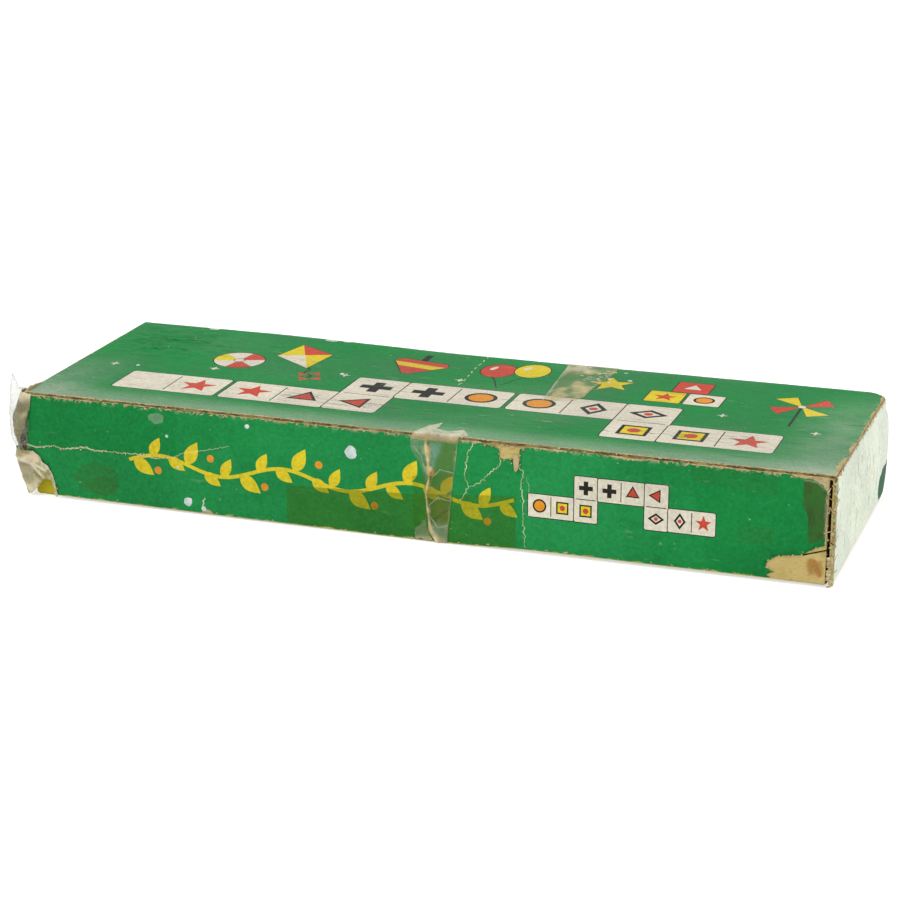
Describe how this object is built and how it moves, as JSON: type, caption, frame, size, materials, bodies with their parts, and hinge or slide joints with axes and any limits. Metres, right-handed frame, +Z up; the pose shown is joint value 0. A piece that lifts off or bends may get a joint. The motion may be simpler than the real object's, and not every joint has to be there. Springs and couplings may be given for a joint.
{
  "type": "board game box",
  "caption": "Worn telescoping cardboard game box: a full-depth green paper-wrapped lid lifts off a yellow tray filled with wooden picture dominoes and a folded leaflet.",
  "frame": {"origin": "centre of the tray's underside, on the table", "axes": "+X along the box's length to the right, +Y from the front to the back, +Z up"},
  "size_m": [0.3426, 0.1186, 0.0451],
  "materials": {
    "greyboard": "uncoated greyboard, brown at torn edges",
    "lid_paper": "printed and varnished green, worn",
    "tray_paper": "plain yellow, slightly worn",
    "stay_paper": "brown gummed paper",
    "clear_tape": "aged clear film, yellowed and crinkled",
    "tile_wood": "smooth beech, faces printed",
    "leaflet_paper": "uncoated, slightly yellowed"
  },
  "bodies": {
    "tray": {"tray_board": "greyboard", "tray_wrap": "tray_paper", "tray_stay_front_left": "stay_paper", "tray_stay_front_right": "stay_paper", "tray_stay_back_left": "stay_paper", "tray_stay_back_right": "stay_paper"},
    "lid": {"lid_board": "greyboard", "lid_wrap": "lid_paper", "lid_stay_front_left": "stay_paper", "lid_stay_front_right": "stay_paper", "lid_stay_back_left": "stay_paper", "lid_stay_back_right": "stay_paper", "tape_front": "clear_tape", "tape_back": "clear_tape", "tape_left_corner": "clear_tape", "tape_left_flap": "clear_tape", "tape_right_corner": "clear_tape"},
    "leaflet": {"rules_leaflet": "leaflet_paper"},
    "tile_01": {"tile_01": "tile_wood"},
    "tile_02": {"tile_02": "tile_wood"},
    "tile_03": {"tile_03": "tile_wood"},
    "tile_04": {"tile_04": "tile_wood"},
    "tile_05": {"tile_05": "tile_wood"},
    "tile_06": {"tile_06": "tile_wood"},
    "tile_07": {"tile_07": "tile_wood"},
    "tile_08": {"tile_08": "tile_wood"},
    "tile_09": {"tile_09": "tile_wood"},
    "tile_10": {"tile_10": "tile_wood"},
    "tile_11": {"tile_11": "tile_wood"},
    "tile_12": {"tile_12": "tile_wood"},
    "tile_13": {"tile_13": "tile_wood"},
    "tile_14": {"tile_14": "tile_wood"},
    "tile_15": {"tile_15": "tile_wood"},
    "tile_16": {"tile_16": "tile_wood"},
    "tile_17": {"tile_17": "tile_wood"},
    "tile_18": {"tile_18": "tile_wood"},
    "tile_19": {"tile_19": "tile_wood"},
    "tile_20": {"tile_20": "tile_wood"},
    "tile_21": {"tile_21": "tile_wood"},
    "tile_22": {"tile_22": "tile_wood"},
    "tile_23": {"tile_23": "tile_wood"},
    "tile_24": {"tile_24": "tile_wood"},
    "tile_25": {"tile_25": "tile_wood"},
    "tile_26": {"tile_26": "tile_wood"},
    "tile_27": {"tile_27": "tile_wood"},
    "tile_28": {"tile_28": "tile_wood"}
  },
  "joints": [
    {"name": "lid_lift", "type": "slide", "parent": "tray", "child": "lid", "axis": [0, 0, 1], "range_m": [0, 0.2]},
    {"name": "leaflet_lift", "type": "slide", "parent": "tray", "child": "leaflet", "axis": [0, 0, 1], "range_m": [0, 0.12]},
    {"name": "tile_01_lift", "type": "slide", "parent": "tray", "child": "tile_01", "axis": [0, 0, 1], "range_m": [0, 0.05]},
    {"name": "tile_02_lift", "type": "slide", "parent": "tray", "child": "tile_02", "axis": [0, 0, 1], "range_m": [0, 0.05]},
    {"name": "tile_03_lift", "type": "slide", "parent": "tray", "child": "tile_03", "axis": [0, 0, 1], "range_m": [0, 0.05]},
    {"name": "tile_04_lift", "type": "slide", "parent": "tray", "child": "tile_04", "axis": [0, 0, 1], "range_m": [0, 0.05]},
    {"name": "tile_05_lift", "type": "slide", "parent": "tray", "child": "tile_05", "axis": [0, 0, 1], "range_m": [0, 0.058]},
    {"name": "tile_06_lift", "type": "slide", "parent": "tray", "child": "tile_06", "axis": [0, 0, 1], "range_m": [0, 0.058]},
    {"name": "tile_07_lift", "type": "slide", "parent": "tray", "child": "tile_07", "axis": [0, 0, 1], "range_m": [0, 0.058]},
    {"name": "tile_08_lift", "type": "slide", "parent": "tray", "child": "tile_08", "axis": [0, 0, 1], "range_m": [0, 0.058]},
    {"name": "tile_09_lift", "type": "slide", "parent": "tray", "child": "tile_09", "axis": [0, 0, 1], "range_m": [0, 0.066]},
    {"name": "tile_10_lift", "type": "slide", "parent": "tray", "child": "tile_10", "axis": [0, 0, 1], "range_m": [0, 0.066]},
    {"name": "tile_11_lift", "type": "slide", "parent": "tray", "child": "tile_11", "axis": [0, 0, 1], "range_m": [0, 0.066]},
    {"name": "tile_12_lift", "type": "slide", "parent": "tray", "child": "tile_12", "axis": [0, 0, 1], "range_m": [0, 0.066]},
    {"name": "tile_13_lift", "type": "slide", "parent": "tray", "child": "tile_13", "axis": [0, 0, 1], "range_m": [0, 0.074]},
    {"name": "tile_14_lift", "type": "slide", "parent": "tray", "child": "tile_14", "axis": [0, 0, 1], "range_m": [0, 0.074]},
    {"name": "tile_15_lift", "type": "slide", "parent": "tray", "child": "tile_15", "axis": [0, 0, 1], "range_m": [0, 0.074]},
    {"name": "tile_16_lift", "type": "slide", "parent": "tray", "child": "tile_16", "axis": [0, 0, 1], "range_m": [0, 0.074]},
    {"name": "tile_17_lift", "type": "slide", "parent": "tray", "child": "tile_17", "axis": [0, 0, 1], "range_m": [0, 0.082]},
    {"name": "tile_18_lift", "type": "slide", "parent": "tray", "child": "tile_18", "axis": [0, 0, 1], "range_m": [0, 0.082]},
    {"name": "tile_19_lift", "type": "slide", "parent": "tray", "child": "tile_19", "axis": [0, 0, 1], "range_m": [0, 0.082]},
    {"name": "tile_20_lift", "type": "slide", "parent": "tray", "child": "tile_20", "axis": [0, 0, 1], "range_m": [0, 0.082]},
    {"name": "tile_21_lift", "type": "slide", "parent": "tray", "child": "tile_21", "axis": [0, 0, 1], "range_m": [0, 0.09]},
    {"name": "tile_22_lift", "type": "slide", "parent": "tray", "child": "tile_22", "axis": [0, 0, 1], "range_m": [0, 0.09]},
    {"name": "tile_23_lift", "type": "slide", "parent": "tray", "child": "tile_23", "axis": [0, 0, 1], "range_m": [0, 0.09]},
    {"name": "tile_24_lift", "type": "slide", "parent": "tray", "child": "tile_24", "axis": [0, 0, 1], "range_m": [0, 0.09]},
    {"name": "tile_25_lift", "type": "slide", "parent": "tray", "child": "tile_25", "axis": [0, 0, 1], "range_m": [0, 0.098]},
    {"name": "tile_26_lift", "type": "slide", "parent": "tray", "child": "tile_26", "axis": [0, 0, 1], "range_m": [0, 0.098]},
    {"name": "tile_27_lift", "type": "slide", "parent": "tray", "child": "tile_27", "axis": [0, 0, 1], "range_m": [0, 0.098]},
    {"name": "tile_28_lift", "type": "slide", "parent": "tray", "child": "tile_28", "axis": [0, 0, 1], "range_m": [0, 0.098]}
  ],
  "couplings": [
    {"joint": "leaflet_lift", "follows": "lid_lift", "ratio": 0.6},
    {"joint": "tile_01_lift", "follows": "lid_lift", "ratio": 0.25},
    {"joint": "tile_02_lift", "follows": "lid_lift", "ratio": 0.25},
    {"joint": "tile_03_lift", "follows": "lid_lift", "ratio": 0.25},
    {"joint": "tile_04_lift", "follows": "lid_lift", "ratio": 0.25},
    {"joint": "tile_05_lift", "follows": "lid_lift", "ratio": 0.29},
    {"joint": "tile_06_lift", "follows": "lid_lift", "ratio": 0.29},
    {"joint": "tile_07_lift", "follows": "lid_lift", "ratio": 0.29},
    {"joint": "tile_08_lift", "follows": "lid_lift", "ratio": 0.29},
    {"joint": "tile_09_lift", "follows": "lid_lift", "ratio": 0.33},
    {"joint": "tile_10_lift", "follows": "lid_lift", "ratio": 0.33},
    {"joint": "tile_11_lift", "follows": "lid_lift", "ratio": 0.33},
    {"joint": "tile_12_lift", "follows": "lid_lift", "ratio": 0.33},
    {"joint": "tile_13_lift", "follows": "lid_lift", "ratio": 0.37},
    {"joint": "tile_14_lift", "follows": "lid_lift", "ratio": 0.37},
    {"joint": "tile_15_lift", "follows": "lid_lift", "ratio": 0.37},
    {"joint": "tile_16_lift", "follows": "lid_lift", "ratio": 0.37},
    {"joint": "tile_17_lift", "follows": "lid_lift", "ratio": 0.41},
    {"joint": "tile_18_lift", "follows": "lid_lift", "ratio": 0.41},
    {"joint": "tile_19_lift", "follows": "lid_lift", "ratio": 0.41},
    {"joint": "tile_20_lift", "follows": "lid_lift", "ratio": 0.41},
    {"joint": "tile_21_lift", "follows": "lid_lift", "ratio": 0.45},
    {"joint": "tile_22_lift", "follows": "lid_lift", "ratio": 0.45},
    {"joint": "tile_23_lift", "follows": "lid_lift", "ratio": 0.45},
    {"joint": "tile_24_lift", "follows": "lid_lift", "ratio": 0.45},
    {"joint": "tile_25_lift", "follows": "lid_lift", "ratio": 0.49},
    {"joint": "tile_26_lift", "follows": "lid_lift", "ratio": 0.49},
    {"joint": "tile_27_lift", "follows": "lid_lift", "ratio": 0.49},
    {"joint": "tile_28_lift", "follows": "lid_lift", "ratio": 0.49}
  ]
}
